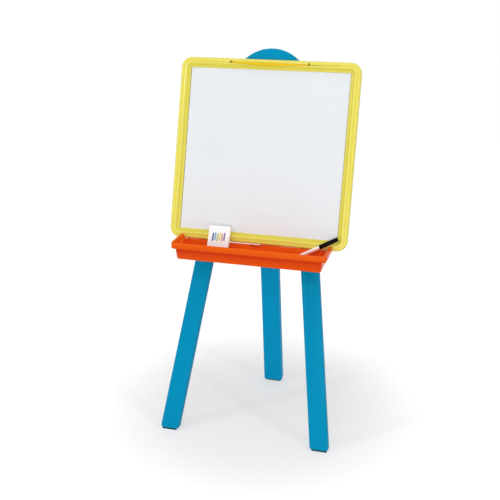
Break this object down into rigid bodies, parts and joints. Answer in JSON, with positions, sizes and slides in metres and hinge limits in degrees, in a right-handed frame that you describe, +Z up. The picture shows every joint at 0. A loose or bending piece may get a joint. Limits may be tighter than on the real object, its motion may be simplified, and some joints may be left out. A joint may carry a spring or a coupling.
{
  "type": "kids easel",
  "caption": "Three-legged plastic easel for a child, with a lift-off double-sided board, a paper clip, a tray, a folding rear leg, a pack of chalk and a marker.",
  "frame": {"origin": "on the floor, under the middle of the footprint and of the board's width", "axes": "+Z up, -Y out of the drawing side of the board, +X to the right of someone who draws on it"},
  "size_m": [0.515, 0.3916, 1.0692],
  "materials": {
    "blue_leg": "moulded polypropylene, satin",
    "blue_head": "moulded polypropylene, satin",
    "orange_tray": "moulded polypropylene, semi-gloss",
    "yellow_frame": "moulded polypropylene, satin",
    "clip_yellow": "moulded polypropylene, satin",
    "whiteboard": "dry-wipe polystyrene sheet, gloss",
    "chalkboard": "grained polystyrene sheet, matt",
    "foot_rubber": "matt",
    "steel": "zinc plated",
    "marker_white": "gloss",
    "marker_black": "gloss",
    "marker_felt": "fibre",
    "carton_card": "coated board",
    "chalk": "pressed chalk, powdery"
  },
  "bodies": {
    "front_frame": {"head_shell": "blue_head", "head_rear_cover": "blue_head", "front_leg_left": "blue_leg", "front_leg_right": "blue_leg", "front_sole_left": "foot_rubber", "front_sole_right": "foot_rubber", "hinge_pin": "steel", "tray": "orange_tray", "cover_screw_1": "steel", "cover_screw_2": "steel", "cover_screw_3": "steel", "cover_screw_4": "steel", "cover_screw_5": "steel", "cover_screw_6": "steel", "tray_screw_left_1": "steel", "tray_screw_left_2": "steel", "tray_screw_right_1": "steel", "tray_screw_right_2": "steel"},
    "rear_leg": {"rear_leg": "blue_leg", "rear_sole": "foot_rubber"},
    "board": {"board_frame_front": "yellow_frame", "board_frame_back": "yellow_frame", "whiteboard_sheet": "whiteboard", "chalkboard_sheet": "chalkboard", "frame_screw_1": "steel", "frame_screw_2": "steel", "frame_screw_3": "steel", "frame_screw_4": "steel", "frame_screw_5": "steel", "frame_screw_6": "steel", "frame_screw_7": "steel", "frame_screw_8": "steel"},
    "paper_clip": {"paper_clip": "clip_yellow"},
    "chalk_pack": {"chalk_carton_sleeve": "carton_card", "chalk_carton_base": "carton_card", "chalk_carton_lid": "carton_card", "chalk_stick_1": "chalk", "chalk_stick_2": "chalk", "chalk_stick_3": "chalk", "chalk_stick_4": "chalk", "chalk_stick_5": "chalk", "chalk_stick_6": "chalk"},
    "marker": {"marker_barrel": "marker_white", "marker_nib": "marker_felt"},
    "marker_cap": {"marker_cap": "marker_black"}
  },
  "joints": [
    {"name": "rear_leg_fold", "type": "hinge", "parent": "front_frame", "child": "rear_leg", "pos_m": [0, 0.06323, 0.8113], "axis": [-1, 0, 0], "range_deg": [0, 25]},
    {"name": "board_lift", "type": "slide", "parent": "front_frame", "child": "board", "axis": [0, 0.2924, 0.9563], "range_m": [0, 0.03]},
    {"name": "paper_clip_hinge", "type": "hinge", "parent": "board", "child": "paper_clip", "pos_m": [0, 0.09625, 1.03304], "axis": [-1, 0, 0], "range_deg": [0, 45]},
    {"name": "chalk_pack_lift", "type": "slide", "parent": "front_frame", "child": "chalk_pack", "axis": [0, 0, 1], "range_m": [0, 0.12]},
    {"name": "marker_lift", "type": "slide", "parent": "front_frame", "child": "marker", "axis": [0, 0, 1], "range_m": [0, 0.12]},
    {"name": "marker_cap_pull", "type": "slide", "parent": "marker", "child": "marker_cap", "axis": [0.8771, 0.1404, 0.4592], "range_m": [0, 0.06]}
  ]
}
